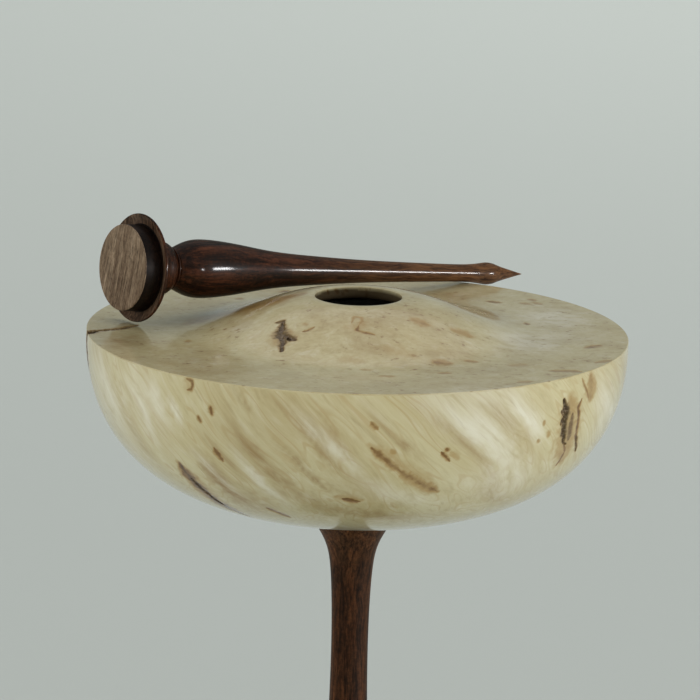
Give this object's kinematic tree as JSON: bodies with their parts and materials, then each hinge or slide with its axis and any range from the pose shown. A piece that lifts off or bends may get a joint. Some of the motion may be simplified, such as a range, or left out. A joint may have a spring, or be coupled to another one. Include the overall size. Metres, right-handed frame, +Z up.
{
  "type": "lidded pedestal vessel",
  "caption": "Turned burl hollow form with a small mouth on a slender rosewood pedestal, its finial lid lying loose across the top.",
  "frame": {"origin": "centre of the foot's flat underside, on the axis of the foot, stem and vessel", "axes": "+Z up along the turned axis; +X to the viewer's right and +Y away from the viewer; the lid's tip points to +X and +Y"},
  "size_m": [0.15, 0.1549, 0.2203],
  "materials": {
    "pale_burl": "satin lacquer over figured pale burl",
    "dark_rosewood": "polished oil and wax"
  },
  "bodies": {
    "vessel_on_pedestal": {"vessel": "pale_burl", "stem": "dark_rosewood", "foot": "dark_rosewood"},
    "lid": {"lid_cap": "dark_rosewood", "finial": "dark_rosewood"}
  },
  "joints": [
    {"name": "lid_lift", "type": "slide", "parent": "vessel_on_pedestal", "child": "lid", "axis": [0, 0, 1], "range_m": [0, 0.12]}
  ]
}
